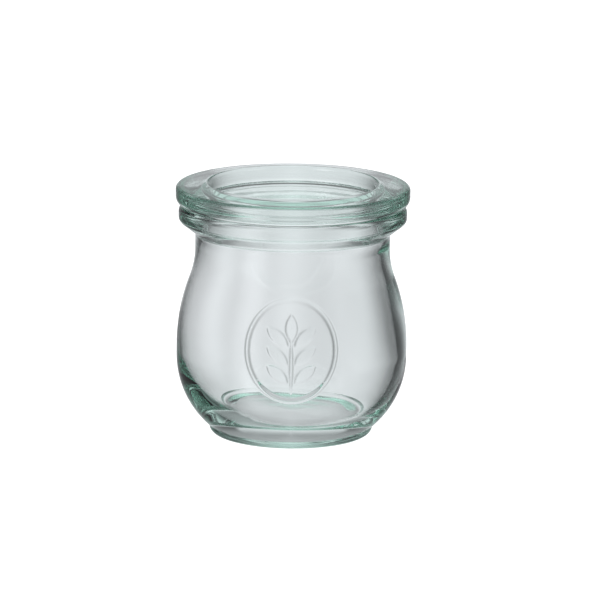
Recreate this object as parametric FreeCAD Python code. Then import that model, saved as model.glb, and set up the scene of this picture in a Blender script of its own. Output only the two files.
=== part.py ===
import FreeCAD, Part

import os
from math import asin, atan2, cos, hypot, pi, sin, sqrt

os.makedirs("parts", exist_ok=True)

# A small preserving jar of clear pressed glass, with its loose glass lid.
# Millimetres. The jar stands on z = 0 about the Z axis, and its front faces -Y.

# Jar, from the surface that it stands on up to the sealing face of the rim
jar_height = 69.0
foot_height = 2.3           # stacking foot
bowl_height = 21.3          # from the foot up to the widest band
band_height = 3.0           # widest band, before the shoulder starts
neck_length = 4.8           # straight neck, up to the flange
flange_rise = 3.9           # sloping underside of the flange
rim_side = 4.1              # upright edge of the rim, up to the sealing face
floor_height = 3.6          # inside floor, above the standing surface

# Jar, across
mouth_bore = 54.0
neck_wall = 2.1
flange_reach = 5.0          # how far the rim stands out from the neck
belly_reach = 5.4           # how far the belly stands out from the neck
belly_wall = 2.0
foot_diameter = 49.0
bowl_thickening = 7.3       # foot radius less the inside floor's radius
push_up = 0.9               # hollow under the foot, at the centre
push_up_inset = 2.6         # from the outside of the foot to the hollow's edge

# Jar, roundings
heel_rounding = 1.9
push_up_rounding = 4.0
floor_rounding = 1.5
mouth_rounding = 0.8
rim_top_rounding = 1.7
flange_edge_rounding = 1.5
flange_root_rounding = 1.6
shoulder_share = 0.70       # share of the shoulder's S curve that bulges outwards
inner_shoulder_rise = 1.0   # the hollow's shoulder ends this far above the wall's own

# Lid
lid_overhang = 0.9          # lid beyond the jar's rim, all round
lid_ring_height = 6.1       # outer wall of the lid, above the sealing face
crown_rise = 1.0            # the ring's top rises this much towards the recess
boss_drop = 1.85            # boss under the lid, below the sealing face
plate_thickness = 3.35      # from the boss's underside to the recess's floor
recess_draft = 0.4          # slope of the recess's wall
foot_clearance = 0.25       # gap all round a jar's foot that stands in the recess
boss_draft = 0.3            # slope of the boss's side
boss_clearance = 0.8        # gap all round the boss, in the mouth's bore
lid_top_rounding = 1.3
lid_bottom_rounding = 3.0
crest_rounding = 1.0
recess_rounding = 1.6
boss_rounding = 0.8
boss_root_rounding = 0.6
boss_side_used = 0.95       # most of the boss's side that its two roundings may take

# Raised mark on the front: a plain oval line round a sprig of leaves
mark_height = 0.3           # how far it stands out from the wall
mark_root = 0.8             # how deep it is joined into the wall
mark_lift = 5.4             # its centre above the top of the widest band
mark_width = 27.0
mark_tall = 31.0
mark_line = 1.1
stem_length = 22.0
stem_width = 1.0
leaf_length = 8.0
leaf_width = 3.4
leaf_lean = 50.0            # degrees between a side leaf and the stem
leaf_gap = 0.5              # between a leaf and the stem
leaf_pairs = 3
leaf_pitch = 5.5            # from one pair up to the next
leaf_start = 2.0            # lowest pair above the stem's lower end

# Heights and radii that follow from these
flange_edge = jar_height - rim_side
flange_root = flange_edge - flange_rise
shoulder_top = flange_root - neck_length
belly_low = foot_height + bowl_height
belly_high = belly_low + band_height
neck_radius = mouth_bore / 2 + neck_wall
rim_radius = neck_radius + flange_reach
belly_radius = neck_radius + belly_reach
foot_radius = foot_diameter / 2
lid_radius = rim_radius + lid_overhang
lid_shoulder = jar_height + lid_ring_height
lid_top = lid_shoulder + crown_rise
boss_bottom = jar_height - boss_drop
boss_radius = mouth_bore / 2 - boss_clearance
recess_floor = boss_bottom + plate_thickness
recess_floor_radius = foot_radius + foot_clearance
mark_centre = belly_high + mark_lift


def point(radius, height):
    """A point of a profile, which lies in the XZ plane."""
    return FreeCAD.Vector(radius, 0, height)


def line(start, end):
    return Part.LineSegment(point(*start), point(*end)).toShape()


def arc_about(centre, radius, start_angle, end_angle):
    """Arc about a centre (radius, height), with its angles in radians."""
    angles = (start_angle, (start_angle + end_angle) / 2, end_angle)
    through = [point(centre[0] + radius * cos(a), centre[1] + radius * sin(a)) for a in angles]
    return Part.Arc(*through).toShape()


def towards(start, end):
    """Unit direction from one (radius, height) to another."""
    length = hypot(end[0] - start[0], end[1] - start[1])
    return (end[0] - start[0]) / length, (end[1] - start[1]) / length


def rounded_line(corners):
    """Edges through corners (radius, height, rounding), from the first to the last."""
    edges = []
    here = corners[0][:2]
    for before, corner, after in zip(corners, corners[1:], corners[2:]):
        rounding = corner[2]
        back = towards(corner, before)
        ahead = towards(corner, after)
        across = (back[0] + ahead[0], back[1] + ahead[1])
        half_turn = atan2(hypot(*across), hypot(back[0] - ahead[0], back[1] - ahead[1]))
        reach = rounding * sin(half_turn) / cos(half_turn)
        bulge = (rounding / cos(half_turn) - rounding) / hypot(*across)
        start = (corner[0] + back[0] * reach, corner[1] + back[1] * reach)
        middle = (corner[0] + across[0] * bulge, corner[1] + across[1] * bulge)
        end = (corner[0] + ahead[0] * reach, corner[1] + ahead[1] * reach)
        edges.append(line(here, start))
        edges.append(Part.Arc(point(*start), point(*middle), point(*end)).toShape())
        here = end
    edges.append(line(here, corners[-1][:2]))
    return edges


def bowl_circle(low, high):
    """Centre and radius of the circle through low that is upright at high."""
    width = high[0] - low[0]
    height = high[1] - low[1]
    radius = (width ** 2 + height ** 2) / (2 * width)
    return (high[0] - radius, high[1]), radius


def bowl_edge(low, high, grow=0.0):
    """The bowl's arc, moved outwards by grow."""
    centre, radius = bowl_circle(low, high)
    start_angle = atan2(low[1] - centre[1], low[0] - centre[0])
    return arc_about(centre, radius + grow, start_angle, 0.0)


def rounded_floor_edges(corner, high):
    """Flat floor from the axis, a rounding in its corner, and the bowl's arc."""
    centre, radius = bowl_circle(corner, high)
    rise = centre[1] - corner[1] - floor_rounding
    rounding_centre = (centre[0] + sqrt((radius - floor_rounding) ** 2 - rise ** 2),
                       corner[1] + floor_rounding)
    end_angle = atan2(-rise, rounding_centre[0] - centre[0])
    return [line((0, corner[1]), (rounding_centre[0], corner[1])),
            arc_about(rounding_centre, floor_rounding, -pi / 2, end_angle),
            arc_about(centre, radius, end_angle, 0.0)]


def shoulder_edges(low, high, grow=0.0):
    """S of two arcs, upright at both ends, moved outwards by grow."""
    width = low[0] - high[0]
    height = high[1] - low[1]
    radii = (height ** 2 + width ** 2) / (2 * width)
    outward = shoulder_share * radii
    inward = radii - outward
    turn = asin(height / radii)
    return [arc_about((low[0] - outward, low[1]), outward + grow, 0.0, turn),
            arc_about((high[0] + inward, high[1]), inward - grow, pi + turn, pi)]


def wall_edges(grow=0.0):
    """Outside of the jar from the foot up to the flange, moved outwards by grow."""
    edges = [bowl_edge((foot_radius, foot_height), (belly_radius, belly_low), grow)]
    side = belly_radius + grow
    neck = neck_radius + grow
    edges.append(line((side, belly_low), (side, belly_high)))
    edges += shoulder_edges((belly_radius, belly_high), (neck_radius, shoulder_top), grow)
    edges.append(line((neck, shoulder_top), (neck, flange_root - flange_root_rounding)))
    return edges


def revolve(edges):
    """Solid of revolution about Z of a closed profile."""
    face = Part.Face(Part.Wire(Part.__sortEdges__(edges)))
    axis = FreeCAD.Vector(0, 0, 1)
    return face.revolve(FreeCAD.Vector(0, 0, 0), axis, 360)


def jar_body():
    """The jar without its mark: foot, bowl, shoulder, neck, flanged rim and inside."""
    bore = mouth_bore / 2
    inner_belly = belly_radius - belly_wall
    inner_belly_low = belly_low + band_height / 2
    inner_shoulder_top = shoulder_top + inner_shoulder_rise
    inner_floor_radius = foot_radius - bowl_thickening
    foot = rounded_line([(0, push_up),
                         (foot_radius - push_up_inset, 0, push_up_rounding),
                         (foot_radius, 0, heel_rounding),
                         (foot_radius, foot_height)])
    neck_end = flange_root - flange_root_rounding
    rim = rounded_line([(neck_radius, neck_end),
                        (neck_radius, flange_root, flange_root_rounding),
                        (rim_radius, flange_edge, flange_edge_rounding),
                        (rim_radius, jar_height, rim_top_rounding),
                        (bore, jar_height, mouth_rounding),
                        (bore, inner_shoulder_top)])
    inside = shoulder_edges((inner_belly, belly_high), (bore, inner_shoulder_top))
    inside.append(line((inner_belly, inner_belly_low), (inner_belly, belly_high)))
    inside += rounded_floor_edges((inner_floor_radius, floor_height),
                                  (inner_belly, inner_belly_low))
    axis = line((0, push_up), (0, floor_height))
    return revolve(foot + wall_edges() + rim + inside + [axis])


def ellipse_wire(width, tall):
    """Upright ellipse about the mark's centre, in the XZ plane."""
    curve = Part.Ellipse(FreeCAD.Vector(0, 0, 0), tall / 2, width / 2).toShape()
    wire = Part.Wire([curve])
    wire.rotate(FreeCAD.Vector(0, 0, 0), FreeCAD.Vector(0, 0, 1), 90)
    wire.rotate(FreeCAD.Vector(0, 0, 0), FreeCAD.Vector(1, 0, 0), 90)
    wire.translate(FreeCAD.Vector(0, 0, mark_centre))
    return wire


def lens_face(length, width, root, lean):
    """Leaf outline of two arcs, from its root (x, z) and leaning to +X by degrees."""
    tip = point(0, length)
    arcs = [Part.Arc(point(0, 0), point(side * width / 2, length / 2), tip).toShape()
            for side in (-1, 1)]
    face = Part.Face(Part.Wire(Part.__sortEdges__(arcs)))
    face.rotate(FreeCAD.Vector(0, 0, 0), FreeCAD.Vector(0, 1, 0), lean)
    face.translate(point(*root))
    return face


def mark_faces():
    """Flat shapes of the mark, in the XZ plane."""
    inner_wire = ellipse_wire(mark_width - 2 * mark_line, mark_tall - 2 * mark_line)
    oval = Part.Face(ellipse_wire(mark_width, mark_tall)).cut(Part.Face(inner_wire))
    sprig_height = stem_length + leaf_gap
    stem_foot = mark_centre - sprig_height / 2
    leaf_foot = stem_foot + stem_length - leaf_length
    faces = [oval, lens_face(stem_length - leaf_length - leaf_gap, stem_width, (0, stem_foot), 0)]
    faces.append(lens_face(leaf_length, leaf_width, (0, leaf_foot), 0))
    root_x = stem_width / 2 + leaf_gap
    for pair in range(leaf_pairs):
        root_z = stem_foot + leaf_start + pair * leaf_pitch
        for side in (-1, 1):
            lean = side * leaf_lean
            faces.append(lens_face(leaf_length, leaf_width, (side * root_x, root_z), lean))
    return faces


def mark_solids():
    """The mark's shapes, cut from a thin skin that follows the jar's wall."""
    outer = wall_edges(mark_height)
    inner = wall_edges(-mark_root)
    low_end = Part.LineSegment(outer[0].Vertexes[0].Point, inner[0].Vertexes[0].Point)
    high_end = Part.LineSegment(outer[-1].Vertexes[-1].Point, inner[-1].Vertexes[-1].Point)
    skin = revolve(outer + inner + [low_end.toShape(), high_end.toShape()])
    past_the_front = FreeCAD.Vector(0, -2 * belly_radius, 0)
    return [face.extrude(past_the_front).common(skin) for face in mark_faces()]


def lid():
    """Loose glass lid: a heavy ring, a recess on top and a boss in the jar's mouth."""
    room = boss_side_used * boss_drop
    scale = min(1.0, room / (boss_rounding + boss_root_rounding))
    profile = rounded_line([(0, boss_bottom),
                            (boss_radius - boss_draft, boss_bottom, boss_rounding * scale),
                            (boss_radius, jar_height, boss_root_rounding * scale),
                            (lid_radius, jar_height, lid_bottom_rounding),
                            (lid_radius, lid_shoulder, lid_top_rounding),
                            (recess_floor_radius + recess_draft, lid_top, crest_rounding),
                            (recess_floor_radius, recess_floor, recess_rounding),
                            (0, recess_floor)])
    profile.append(line((0, boss_bottom), (0, recess_floor)))
    return revolve(profile)


jar = jar_body().fuse(mark_solids())
jar.exportStep("parts/jar.step")
lid().exportStep("parts/lid.step")
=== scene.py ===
from math import asin, atan2, ceil, cos, hypot, pi, radians, sin, sqrt, tan

import bpy
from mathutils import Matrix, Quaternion, Vector, noise


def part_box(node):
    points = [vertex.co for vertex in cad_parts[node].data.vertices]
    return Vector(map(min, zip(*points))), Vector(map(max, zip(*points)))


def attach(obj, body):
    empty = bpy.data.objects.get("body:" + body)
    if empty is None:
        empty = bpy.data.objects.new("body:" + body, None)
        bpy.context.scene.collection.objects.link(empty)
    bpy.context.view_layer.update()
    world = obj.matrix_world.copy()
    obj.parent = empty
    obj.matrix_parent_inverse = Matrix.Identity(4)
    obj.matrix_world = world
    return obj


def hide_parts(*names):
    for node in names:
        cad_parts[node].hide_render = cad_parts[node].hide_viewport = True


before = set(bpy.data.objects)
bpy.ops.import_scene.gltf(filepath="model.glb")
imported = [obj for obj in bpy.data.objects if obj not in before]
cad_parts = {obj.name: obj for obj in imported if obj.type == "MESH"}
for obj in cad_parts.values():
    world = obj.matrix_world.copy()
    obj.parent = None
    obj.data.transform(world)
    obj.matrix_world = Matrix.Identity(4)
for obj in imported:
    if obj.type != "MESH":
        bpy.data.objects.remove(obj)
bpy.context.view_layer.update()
jar_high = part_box("jar")[1]
lid_low, lid_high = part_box("lid")

MM = 0.001

# ---------------------------------------------------------------- sizes, in mm
# Taken from the frame
jar_height = jar_high.z / MM
lid_radius = lid_high.x / MM
boss_bottom = lid_low.z / MM

# Jar
foot_height = 2.3
bowl_height = 21.3
band_height = 3.0
neck_length = 4.8
flange_rise = 3.9
rim_side = 4.1
floor_height = 3.6
mouth_bore = 54.0
neck_wall = 2.1
belly_reach = 5.4
belly_wall = 2.0
foot_diameter = 49.0
bowl_thickening = 7.3
push_up = 0.9
push_up_inset = 2.6
heel_rounding = 1.9
push_up_rounding = 4.0
foot_kink_rounding = 0.5
floor_rounding = 1.5
mouth_rounding = 0.8
rim_top_rounding = 1.7
flange_edge_rounding = 1.5
flange_root_rounding = 1.6
shoulder_share = 0.70
inner_shoulder_rise = 1.0   # the hollow's shoulder ends this far above the wall's own
cavity_drift = 1.1          # how far the blown hollow strays off the axis, in the belly
heel_drift = 0.3            # and how far to the other side, just above the heel
drift_turn = 14.0           # height where the one turns into the other

# Lid
lid_overhang = 0.9
lid_ring_height = 6.1
crown_rise = 1.0
plate_thickness = 3.35
recess_draft = 0.4
foot_clearance = 0.25
boss_draft = 0.3
boss_clearance = 0.8
lid_top_rounding = 1.3
lid_bottom_rounding = 3.0
crest_rounding = 1.0
recess_rounding = 1.6
boss_rounding = 0.8
boss_root_rounding = 0.6
rest_gap = 0.06             # air between the lid's and the rim's polished faces

# Raised mark
mark_height = 0.3
mark_lift = 5.4
mark_width = 27.0
mark_tall = 31.0
mark_line = 1.1
mark_softness = 0.7         # how wide the slope at a raised line's edge is
stem_length = 22.0
stem_width = 1.0
leaf_length = 8.0
leaf_width = 3.4
leaf_lean = 50.0
leaf_gap = 0.5
leaf_pairs = 3
leaf_pitch = 5.5
leaf_start = 2.0
mark_margin = 1.0           # no relief further than this outside the oval
relief_start = 3.0          # nor lower than this above the foot

# Unevenness of the hollow
unevenness_length = 14.0
unevenness_depth = 0.05
unevenness_fade = 10.0      # it fades towards the axis from this radius inwards

# Fineness of the meshes
line_step = 1.2             # between points on straight stretches and on arcs
arc_step = 0.7
outside_step = 0.3          # between points where the raised mark may be
arc_turn = 11.0             # degrees, the most between two points of an arc
front_count = 120           # steps round the axis across the mark, round the rest, and on the lid
rest_count = 130
lid_count = 240
TINY = 1e-6

# What follows from these
flange_edge = jar_height - rim_side
flange_root = flange_edge - flange_rise
shoulder_top = flange_root - neck_length
belly_low = foot_height + bowl_height
belly_high = belly_low + band_height
bore_radius = mouth_bore / 2
neck_radius = bore_radius + neck_wall
rim_radius = lid_radius - lid_overhang
belly_radius = neck_radius + belly_reach
inner_belly = belly_radius - belly_wall
inner_belly_low = belly_low + band_height / 2
foot_radius = foot_diameter / 2
inner_floor_radius = foot_radius - bowl_thickening
lid_shoulder = jar_height + lid_ring_height
lid_top = lid_shoulder + crown_rise
boss_radius = bore_radius - boss_clearance
recess_floor = boss_bottom + plate_thickness
recess_floor_radius = foot_radius + foot_clearance
mark_centre = belly_high + mark_lift


# ---------------------------------------------------------------- profiles
def line_points(start, end, step=line_step):
    """Points (radius, height) on a straight stretch, without its end."""
    count = max(1, ceil(hypot(end[0] - start[0], end[1] - start[1]) / step))
    return [(start[0] + (end[0] - start[0]) * i / count,
             start[1] + (end[1] - start[1]) * i / count) for i in range(count)]


def arc_points(centre, radius, start_angle, end_angle, step=arc_step):
    """Points on an arc, without its end."""
    turn = abs(end_angle - start_angle)
    count = max(4, ceil(radius * turn / step), ceil(turn / radians(arc_turn)))
    angles = [start_angle + (end_angle - start_angle) * i / count for i in range(count)]
    return [(centre[0] + radius * cos(a), centre[1] + radius * sin(a)) for a in angles]


def towards(start, end):
    length = hypot(end[0] - start[0], end[1] - start[1])
    return (end[0] - start[0]) / length, (end[1] - start[1]) / length


def rounded_points(corners):
    """Points through corners (radius, height, rounding), without the last one."""
    points = []
    here = corners[0][:2]
    for before, corner, after in zip(corners, corners[1:], corners[2:]):
        back = towards(corner, before)
        ahead = towards(corner, after)
        across = (back[0] + ahead[0], back[1] + ahead[1])
        half_turn = atan2(hypot(*across), hypot(back[0] - ahead[0], back[1] - ahead[1]))
        reach = corner[2] * tan(half_turn)
        out = corner[2] / cos(half_turn) / hypot(*across)
        centre = (corner[0] + across[0] * out, corner[1] + across[1] * out)
        start = (corner[0] + back[0] * reach, corner[1] + back[1] * reach)
        end = (corner[0] + ahead[0] * reach, corner[1] + ahead[1] * reach)
        first = atan2(start[1] - centre[1], start[0] - centre[0])
        last = atan2(end[1] - centre[1], end[0] - centre[0])
        last += 2 * pi * round((first - last) / (2 * pi))
        points += line_points(here, start)
        points += arc_points(centre, corner[2], first, last)
        here = end
    return points + line_points(here, corners[-1][:2])


def bowl_circle(low, high):
    """Centre and radius of the circle through low that is upright at high."""
    width = high[0] - low[0]
    height = high[1] - low[1]
    radius = (width ** 2 + height ** 2) / (2 * width)
    return (high[0] - radius, high[1]), radius


def shoulder_points(low, high, step=arc_step):
    """S of two arcs from low up to high, upright at both ends."""
    width = low[0] - high[0]
    height = high[1] - low[1]
    radii = (height ** 2 + width ** 2) / (2 * width)
    outward = shoulder_share * radii
    inward = radii - outward
    turn = asin(height / radii)
    points = arc_points((low[0] - outward, low[1]), outward, 0.0, turn, step)
    points += arc_points((high[0] + inward, high[1]), inward, pi + turn, pi, step)
    return points


def jar_outside():
    """Profile from under the foot's centre to the inner edge of the mouth's rim."""
    centre, radius = bowl_circle((foot_radius, foot_height), (belly_radius, belly_low))
    kink_angle = atan2(foot_height - centre[1], foot_radius - centre[0])
    bowl_start = kink_angle + foot_kink_rounding / radius
    bowl = arc_points(centre, radius, bowl_start, 0.0, outside_step)
    points = rounded_points([(0, push_up),
                             (foot_radius - push_up_inset, 0, push_up_rounding),
                             (foot_radius, 0, heel_rounding),
                             (foot_radius, foot_height, foot_kink_rounding / 2),
                             bowl[0]])
    points += bowl
    band_top = (belly_radius, belly_high)
    neck_start = (neck_radius, shoulder_top)
    points += line_points((belly_radius, belly_low), band_top, outside_step)
    points += shoulder_points(band_top, neck_start, outside_step)
    points += rounded_points([neck_start,
                              (neck_radius, flange_root, flange_root_rounding),
                              (rim_radius, flange_edge, flange_edge_rounding),
                              (rim_radius, jar_height, rim_top_rounding),
                              (bore_radius, jar_height, mouth_rounding),
                              (bore_radius, shoulder_top + inner_shoulder_rise)])
    return points


def jar_inside():
    """Profile from the neck's bore down to the middle of the inside floor."""
    inner_shoulder_top = shoulder_top + inner_shoulder_rise
    up = shoulder_points((inner_belly, belly_high), (bore_radius, inner_shoulder_top))
    up.append((bore_radius, inner_shoulder_top))
    bowl_top = (inner_belly, inner_belly_low)
    centre, radius = bowl_circle((inner_floor_radius, floor_height), bowl_top)
    rise = centre[1] - floor_height - floor_rounding
    corner = (centre[0] + sqrt((radius - floor_rounding) ** 2 - rise ** 2),
              floor_height + floor_rounding)
    corner_angle = atan2(-rise, corner[0] - centre[0])
    points = up[::-1][:-1]
    points += line_points((inner_belly, belly_high), bowl_top)
    points += arc_points(centre, radius, 0.0, corner_angle)
    points += arc_points(corner, floor_rounding, corner_angle, -pi / 2)
    points += line_points((corner[0], floor_height), (0, floor_height))
    return points + [(0, floor_height)]


def lid_profile():
    """Profile from the boss's underside round the ring to the recess's floor."""
    seat = jar_height + rest_gap
    points = rounded_points([(0, boss_bottom + rest_gap),
                             (boss_radius - boss_draft, boss_bottom + rest_gap, boss_rounding),
                             (boss_radius, seat, boss_root_rounding),
                             (lid_radius, seat, lid_bottom_rounding),
                             (lid_radius, lid_shoulder, lid_top_rounding),
                             (recess_floor_radius + recess_draft, lid_top, crest_rounding),
                             (recess_floor_radius, recess_floor, recess_rounding),
                             (0, recess_floor)])
    return points + [(0, recess_floor)]


# ---------------------------------------------------------------- raised mark
def ramp(distance):
    """1 well inside an outline, 0 outside, and a soft slope between."""
    share = min(1.0, max(0.0, 0.5 - distance / mark_softness))
    return share * share * (3 - 2 * share)


def oval_distance(x, z, width, tall):
    """Roughly the distance outside an upright ellipse."""
    a = width / 2
    b = tall / 2
    level = hypot(x / a, z / b)
    slope = hypot(x / a ** 2, z / b ** 2) / max(level, TINY)
    return (level - 1) / max(slope, TINY)


def leaf_distance(x, z, length, width):
    """Distance outside a leaf of two arcs, whose root is at (0, 0) and tip at (0, length)."""
    half = length / 2
    radius = (half ** 2 + (width / 2) ** 2) / width
    across = abs(x)
    along = z - half
    return hypot(across + radius - width / 2, along) - radius


def mark_leaves():
    """(root x, root z, lean, length, width) of the stem and of each leaf."""
    stem_foot = -(stem_length + leaf_gap) / 2
    leaves = [(0, stem_foot, 0, stem_length - leaf_length - leaf_gap, stem_width),
              (0, stem_foot + stem_length - leaf_length, 0, leaf_length, leaf_width)]
    root_x = stem_width / 2 + leaf_gap
    for pair in range(leaf_pairs):
        root_z = stem_foot + leaf_start + pair * leaf_pitch
        for side in (-1, 1):
            lean = side * radians(leaf_lean)
            leaves.append((side * root_x, root_z, lean, leaf_length, leaf_width))
    return leaves


LEAVES = mark_leaves()


def mark_relief(x, z):
    """Height of the raised mark at a place on the front, in mm."""
    z -= mark_centre
    outer = oval_distance(x, z, mark_width, mark_tall)
    if outer > mark_margin:
        return 0.0
    inner = oval_distance(x, z, mark_width - 2 * mark_line, mark_tall - 2 * mark_line)
    share = ramp(max(outer, -inner))
    for root_x, root_z, lean, length, width in LEAVES:
        dx = x - root_x
        dz = z - root_z
        along = dx * sin(lean) + dz * cos(lean)
        across = dx * cos(lean) - dz * sin(lean)
        share = max(share, ramp(leaf_distance(across, along, length, width)))
    return mark_height * share


# ---------------------------------------------------------------- meshes
def even_angles(count):
    return [2 * pi * i / count for i in range(count)]


def front_angles(half_width, fine, coarse):
    """Angles round the axis, closer together on the front where the mark is."""
    start = -pi / 2 - half_width
    step = 2 * half_width / fine
    front = [start + step * i for i in range(fine)]
    rest_start = -pi / 2 + half_width
    rest = 2 * pi - 2 * half_width
    return front + [rest_start + rest * i / coarse for i in range(coarse)]


def lathe(name, profile, angles, shift=None):
    """Closed mesh of a profile (radius, height) turned about Z. shift, if any, gives how far
    each point moves out along the profile's normal."""
    vertices = []
    rings = []
    for index, (radius, height) in enumerate(profile):
        before = profile[max(index - 1, 0)]
        after = profile[min(index + 1, len(profile) - 1)]
        along = towards(before, after)
        normal = (along[1], -along[0])
        ring = []
        for angle in (angles if radius > TINY else angles[:1]):
            ring.append(len(vertices))
            move = shift(index, radius, height, angle) if shift else 0.0
            r = radius + normal[0] * move
            z = height + normal[1] * move
            vertices.append((r * cos(angle) * MM, r * sin(angle) * MM, z * MM))
        rings.append(ring)
    faces = []
    count = len(angles)
    for low, high in zip(rings, rings[1:]):
        for i in range(count):
            j = (i + 1) % count
            if len(low) == 1:
                faces.append((low[0], high[j], high[i]))
            elif len(high) == 1:
                faces.append((low[i], low[j], high[0]))
            else:
                faces.append((low[i], low[j], high[j], high[i]))
    mesh = bpy.data.meshes.new(name)
    mesh.from_pydata(vertices, [], faces)
    mesh.polygons.foreach_set("use_smooth", [True] * len(mesh.polygons))
    mesh.update()
    piece = bpy.data.objects.new(name, mesh)
    bpy.context.collection.objects.link(piece)
    return piece


def unevenness(radius, height, angle):
    """Gentle unevenness of pressed glass, in mm, fading towards the axis."""
    place = Vector((radius * cos(angle), radius * sin(angle), height)) / unevenness_length
    return min(1.0, radius / unevenness_fade) * unevenness_depth * noise.noise(place)


def drift(height):
    """How far the hollow lies towards -X at this height, which leaves that wall thinner."""
    if height < drift_turn:
        share = (height - floor_height) / (drift_turn - floor_height)
        return -heel_drift * sin(pi * max(0.0, share))
    share = (height - drift_turn) / (flange_root - drift_turn)
    return cavity_drift * sin(pi * min(1.0, share))


def build_jar():
    outside = jar_outside()
    inside = jar_inside()
    wall_end = len(outside)

    def shift(index, radius, height, angle):
        if index >= wall_end:
            return cos(angle) * drift(height) + unevenness(radius, height, angle)
        on_front = sin(angle) < 0 and radius > foot_radius
        if on_front and foot_height + relief_start < height < shoulder_top:
            return mark_relief(radius * cos(angle), height)
        return 0.0

    half_width = asin((mark_width / 2 + mark_margin) / belly_radius)
    angles = front_angles(half_width, front_count, rest_count)
    return lathe("jar_glass", outside + inside, angles, shift)


def build_lid():
    return lathe("lid_glass", lid_profile(), even_angles(lid_count))


# ---------------------------------------------------------------- glass, studio and camera
# Tones of what the glass shows, from 0 for black to 1 for white
TABLE_TONE = 0.8
SCREEN_TONE = 0.9
GAP_TONE = 0.05             # the dark room between two screens
STRIP_TONE = 0.2            # the dark strip between the screens' top and the ceiling
CEILING_TONE = 1.0
UNDER_FOOT_SHADOW_TONE = 0.6            # painted shadow on the floor under the foot, seen in or through the glass, at the middle
FOOT_EDGE_SHADOW_TONE = 0.3        # and at the foot's edge, where the painted shadow is darker
ROOM_DARK = 0.2             # the room mirrored in the surface, between the screens
ROOM_PALE = 0.7             # and on them
KEY_BOX_STRENGTH = 3.0
FILL_BOX_STRENGTH = 1.5
STUDIO_COLOUR = (0.97, 1.0, 1.03, 1)

# Angles in degrees, the first four from the horizon upwards
TABLE_END = -45             # below it the table hides the gaps
HORIZON = 0                 # where the table meets the screens
SCREEN_TOP = 25
CEILING_EDGE = 50
SOFT_EDGE = 8               # over this angle one tone turns into the next
SOFT_BOX_REACH = 25         # from a soft box's middle to where it has faded

SCREEN_COUNT = 4
GAP_SHARPNESS = 2.5         # more makes the screens narrower and the gaps wider
BOX_FADE = (0.5, 0.95)      # heights between which a soft box fades, as the sine of the angle

# Glass
GLASS_TINT = (0.45, 0.80, 0.68, 1)
GLASS_DENSITY = 16.0        # per metre
GLASS_IOR = 1.5
SHADOW_TINT = (0.9, 0.92, 0.91, 1)      # what lamps shining through it are dimmed by

# Floor
FLOOR_HALF_SIZE = 3.0       # metres
FLOOR_DROP = 0.05           # mm below the foot
FLOOR_GLOW = 0.8            # of its own, with the rest from the lamps on its grey
FLOOR_GREY = 0.4
SHADE_START = 0.3           # shares of the foot's radius: where the painted shadow under it turns darker
SHADOW_PATCH_END = 0.8             # and where the painted shadow starts to fade out

# Lamps: places and sizes in metres, powers in watts
LAMP_AIM = (0, 0, 0.04)
KEY_PLACE = (-0.9, -0.9, 1.1)
KEY_SIZE = (0.5, 0.8)
KEY_POWER = 14
FILL_PLACE = (0.9, -0.6, 0.9)
FILL_SIZE = (0.3, 0.6)
FILL_POWER = 6

# Camera: metres and degrees
CAMERA_ELEVATION = 12.5
CAMERA_DISTANCE = 1.5
CAMERA_LEAN = 0.6
CAMERA_AIM = (0.0024, 0, 0.0401)
PICTURE_WIDTH = 0.1796      # what the picture spans at the place aimed at
SENSOR_WIDTH = 36.0         # mm

LIGHT_BOUNCES = 32


# ---------------------------------------------------------------- nodes
def add_node(tree, kind, values=None, **settings):
    """A node with its settings, and with values in its input sockets."""
    node = tree.nodes.new(kind)
    for key, value in settings.items():
        setattr(node, key, value)
    for key, value in (values or {}).items():
        node.inputs[key].default_value = value
    return node


def math(tree, operation, first, second=None):
    """Socket of a Math node on one or two inputs, each a socket or a number."""
    node = add_node(tree, "ShaderNodeMath", operation=operation)
    for slot, value in enumerate((first, second)):
        if isinstance(value, (int, float)):
            node.inputs[slot].default_value = value
        elif value is not None:
            tree.links.new(value, node.inputs[slot])
    return node.outputs["Value"]


def smooth_range(tree, value, start, end, low=0.0, high=1.0):
    """Socket that turns smoothly from low to high as value goes from start to end."""
    node = add_node(tree, "ShaderNodeMapRange",
                    {"From Min": start, "From Max": end, "To Min": low, "To Max": high},
                    interpolation_type="SMOOTHSTEP")
    tree.links.new(value, node.inputs["Value"])
    return node.outputs["Result"]


def blend(tree, share, low, high):
    """Socket that goes from low to high, each a socket or a number, as share goes from 0 to 1."""
    kept = math(tree, "MULTIPLY", math(tree, "SUBTRACT", 1.0, share), low)
    return math(tree, "ADD", kept, math(tree, "MULTIPLY", share, high))


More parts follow.
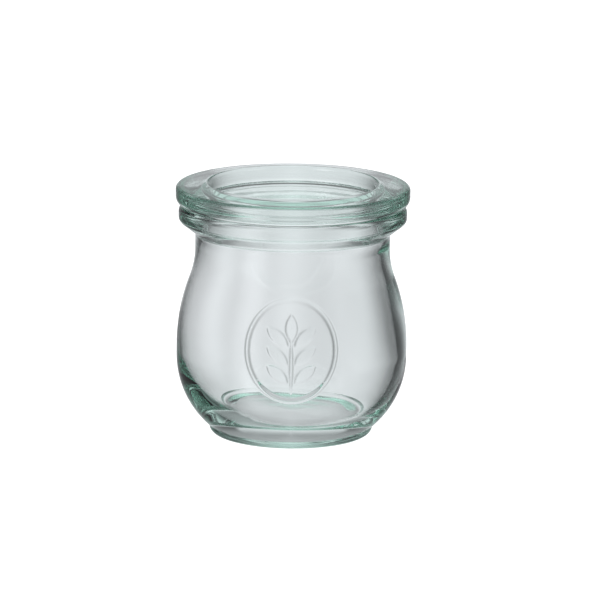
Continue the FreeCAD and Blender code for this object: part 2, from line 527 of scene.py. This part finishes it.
# ---------------------------------------------------------------- materials
def glass_material(name):
    """Clear pressed glass, faintly tinted in its depth, which lets lamps shine through."""
    material = bpy.data.materials.new(name)
    material.use_nodes = True
    tree = material.node_tree
    tree.nodes.clear()
    link = tree.links.new
    place = add_node(tree, "ShaderNodeTexCoord")
    ripple = add_node(tree, "ShaderNodeTexNoise", {"Scale": 90.0, "Detail": 2.0, "Roughness": 0.4})
    bump = add_node(tree, "ShaderNodeBump", {"Strength": 0.05, "Distance": 0.0004})
    link(place.outputs["Object"], ripple.inputs["Vector"])
    link(ripple.outputs["Fac"], bump.inputs["Height"])
    glass = add_node(tree, "ShaderNodeBsdfPrincipled",
                     {"Base Color": (1, 1, 1, 1), "Roughness": 0.0, "IOR": GLASS_IOR,
                      "Transmission Weight": 1.0})
    link(bump.outputs["Normal"], glass.inputs["Normal"])
    clear = add_node(tree, "ShaderNodeBsdfTransparent", {"Color": SHADOW_TINT})
    path = add_node(tree, "ShaderNodeLightPath")
    mix = add_node(tree, "ShaderNodeMixShader")
    link(path.outputs["Is Shadow Ray"], mix.inputs["Fac"])
    link(glass.outputs["BSDF"], mix.inputs[1])
    link(clear.outputs["BSDF"], mix.inputs[2])
    depth = add_node(tree, "ShaderNodeVolumeAbsorption",
                     {"Color": GLASS_TINT, "Density": GLASS_DENSITY})
    out = add_node(tree, "ShaderNodeOutputMaterial")
    link(mix.outputs["Shader"], out.inputs["Surface"])
    link(depth.outputs["Volume"], out.inputs["Volume"])
    return material


def white_floor_material():
    """White floor, which fades into the background and still takes the object's shadow. Seen in or
    through the glass it is open, but for a painted shadow under the foot: a dim glowing round
    patch."""
    material = bpy.data.materials.new("floor_white")
    material.use_nodes = True
    tree = material.node_tree
    tree.nodes.clear()
    link = tree.links.new
    path = add_node(tree, "ShaderNodeLightPath")
    glow = add_node(tree, "ShaderNodeEmission", {"Color": (1, 1, 1, 1), "Strength": FLOOR_GLOW})
    grey = (FLOOR_GREY, FLOOR_GREY, FLOOR_GREY, 1)
    matte = add_node(tree, "ShaderNodeBsdfDiffuse", {"Color": grey})
    both = add_node(tree, "ShaderNodeAddShader")
    link(glow.outputs["Emission"], both.inputs[0])
    link(matte.outputs["BSDF"], both.inputs[1])
    open_floor = add_node(tree, "ShaderNodeBsdfTransparent", {"Color": (1, 1, 1, 1)})
    place = add_node(tree, "ShaderNodeTexCoord")
    length = add_node(tree, "ShaderNodeVectorMath", operation="LENGTH")
    link(place.outputs["Object"], length.inputs[0])
    reach = length.outputs["Value"]
    foot = foot_radius * MM
    # painted shadow: a dim glow under the foot, seen only in or through the glass, lighter in the
    # middle and darker towards the foot's edge
    under = add_node(tree, "ShaderNodeEmission", {"Color": STUDIO_COLOUR})
    shade = smooth_range(tree, reach, SHADE_START * foot, foot, UNDER_FOOT_SHADOW_TONE, FOOT_EDGE_SHADOW_TONE)
    link(shade, under.inputs["Strength"])
    near = smooth_range(tree, reach, SHADOW_PATCH_END * foot, foot, 1.0, 0.0)
    clear = add_node(tree, "ShaderNodeMixShader")
    link(near, clear.inputs["Fac"])
    link(open_floor.outputs["BSDF"], clear.inputs[1])
    link(under.outputs["Emission"], clear.inputs[2])
    from_glass = math(tree, "MAXIMUM", path.outputs["Is Glossy Ray"],
                      path.outputs["Is Transmission Ray"])
    mix = add_node(tree, "ShaderNodeMixShader")
    link(from_glass, mix.inputs["Fac"])
    link(both.outputs["Shader"], mix.inputs[1])
    link(clear.outputs["Shader"], mix.inputs[2])
    out = add_node(tree, "ShaderNodeOutputMaterial")
    link(mix.outputs["Shader"], out.inputs["Surface"])
    return material


# ---------------------------------------------------------------- studio
def above(tree, height, degrees):
    """0 well below an angle above the horizon and 1 well above it; height is the angle's sine."""
    low = sin(radians(degrees - SOFT_EDGE / 2))
    high = sin(radians(degrees + SOFT_EDGE / 2))
    return smooth_range(tree, height, low, high)


def screens(tree, azimuth):
    """1 on the tall pale screens evenly round the object, and 0 in the gaps between them."""
    wave = math(tree, "COSINE", math(tree, "MULTIPLY", azimuth, SCREEN_COUNT))
    share = math(tree, "MULTIPLY", math(tree, "ADD", wave, 1.0), 0.5)
    return math(tree, "POWER", share, GAP_SHARPNESS)


def studio_tone(tree, height, screen):
    """Tone of the studio seen through the glass: table, screens, strip and ceiling."""
    pale = blend(tree, above(tree, height, HORIZON), TABLE_TONE, SCREEN_TONE)
    round_about = blend(tree, screen, GAP_TONE, pale)
    with_strip = blend(tree, above(tree, height, SCREEN_TOP), round_about, STRIP_TONE)
    with_ceiling = blend(tree, above(tree, height, CEILING_EDGE), with_strip, CEILING_TONE)
    return blend(tree, above(tree, height, TABLE_END), TABLE_TONE, with_ceiling)


def soft_box(tree, azimuth, height, place, strength):
    """Strength of a tall soft light that stands in the direction of a lamp's place."""
    direction = atan2(place[0], place[1])
    away = math(tree, "ABSOLUTE", math(tree, "SUBTRACT", azimuth, direction))
    across = smooth_range(tree, away, 0.0, radians(SOFT_BOX_REACH), strength, 0.0)
    upright = smooth_range(tree, math(tree, "ABSOLUTE", height), *BOX_FADE, 1.0, 0.0)
    return math(tree, "MULTIPLY", across, upright)


def build_world():
    """White studio. Through the glass it shows a pale table, pale screens with dark gaps between
    them, which give clear glass its dark edges, a dark strip and a white ceiling. In the glass's
    surface it shows a dim room with the two lamps' soft boxes. All else sees plain white."""
    world = bpy.data.worlds.new("studio")
    bpy.context.scene.world = world
    world.use_nodes = True
    tree = world.node_tree
    tree.nodes.clear()
    link = tree.links.new
    place = add_node(tree, "ShaderNodeTexCoord")
    axes = add_node(tree, "ShaderNodeSeparateXYZ")
    link(place.outputs["Generated"], axes.inputs["Vector"])
    height = axes.outputs["Z"]
    azimuth = math(tree, "ARCTAN2", axes.outputs["X"], axes.outputs["Y"])
    screen = screens(tree, azimuth)
    seen_through = add_node(tree, "ShaderNodeBackground", {"Color": STUDIO_COLOUR})
    link(studio_tone(tree, height, screen), seen_through.inputs["Strength"])

    key_box = soft_box(tree, azimuth, height, KEY_PLACE, KEY_BOX_STRENGTH)
    fill_box = soft_box(tree, azimuth, height, FILL_PLACE, FILL_BOX_STRENGTH)
    room = blend(tree, screen, ROOM_DARK, ROOM_PALE)
    lights = math(tree, "ADD", math(tree, "ADD", key_box, fill_box), room)
    mirrored = add_node(tree, "ShaderNodeBackground", {"Color": STUDIO_COLOUR})
    link(lights, mirrored.inputs["Strength"])

    plain = add_node(tree, "ShaderNodeBackground", {"Color": (1, 1, 1, 1), "Strength": 1.0})
    path = add_node(tree, "ShaderNodeLightPath")
    on_glass = add_node(tree, "ShaderNodeMixShader")
    link(path.outputs["Is Transmission Ray"], on_glass.inputs["Fac"])
    link(mirrored.outputs["Background"], on_glass.inputs[1])
    link(seen_through.outputs["Background"], on_glass.inputs[2])
    mix = add_node(tree, "ShaderNodeMixShader")
    link(path.outputs["Is Glossy Ray"], mix.inputs["Fac"])
    link(plain.outputs["Background"], mix.inputs[1])
    link(on_glass.outputs["Shader"], mix.inputs[2])
    out = add_node(tree, "ShaderNodeOutputWorld")
    link(mix.outputs["Shader"], out.inputs["Surface"])


def build_floor():
    size = FLOOR_HALF_SIZE
    mesh = bpy.data.meshes.new("floor")
    corners = [(-size, -size, 0), (size, -size, 0), (size, size, 0), (-size, size, 0)]
    mesh.from_pydata(corners, [], [(0, 1, 2, 3)])
    floor = bpy.data.objects.new("floor", mesh)
    floor.location.z = -FLOOR_DROP * MM
    bpy.context.collection.objects.link(floor)
    mesh.materials.append(white_floor_material())


def area_lamp(name, place, target, size, power):
    light = bpy.data.lights.new(name, "AREA")
    light.shape = "RECTANGLE"
    light.size = size[0]
    light.size_y = size[1]
    light.energy = power
    lamp = bpy.data.objects.new(name, light)
    lamp.location = place
    lamp.rotation_euler = (Vector(target) - Vector(place)).to_track_quat("-Z", "Y").to_euler()
    lamp.visible_glossy = False
    lamp.visible_transmission = False
    bpy.context.collection.objects.link(lamp)


def build_camera():
    """Camera that looks slightly down at the object's middle, leaning a little to one side."""
    elevation = radians(CAMERA_ELEVATION)
    aim = Vector(CAMERA_AIM)
    back = Vector((0, -cos(elevation), sin(elevation)))
    camera = bpy.data.objects.new("camera", bpy.data.cameras.new("camera"))
    camera.data.sensor_width = SENSOR_WIDTH
    camera.data.lens = SENSOR_WIDTH * CAMERA_DISTANCE / PICTURE_WIDTH
    camera.location = aim + back * CAMERA_DISTANCE
    camera.rotation_mode = "QUATERNION"
    level = (-back).to_track_quat("-Z", "Y")
    camera.rotation_quaternion = level @ Quaternion((0, 0, 1), radians(CAMERA_LEAN))
    bpy.context.collection.objects.link(camera)
    bpy.context.scene.camera = camera


# ---------------------------------------------------------------- the scene
jar_piece = build_jar()
lid_piece = build_lid()
for piece, node in ((jar_piece, "jar"), (lid_piece, "lid")):
    piece.data.materials.append(glass_material(node + "_glass"))
    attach(piece, "root")
    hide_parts(node)

build_world()
build_floor()
area_lamp("key", KEY_PLACE, LAMP_AIM, KEY_SIZE, KEY_POWER)
area_lamp("fill", FILL_PLACE, LAMP_AIM, FILL_SIZE, FILL_POWER)
build_camera()
bpy.context.scene.view_settings.view_transform = "Standard"
bpy.context.scene.cycles.max_bounces = LIGHT_BOUNCES
bpy.context.scene.cycles.transmission_bounces = LIGHT_BOUNCES
bpy.context.scene.cycles.glossy_bounces = LIGHT_BOUNCES
bpy.context.scene.cycles.transparent_max_bounces = LIGHT_BOUNCES
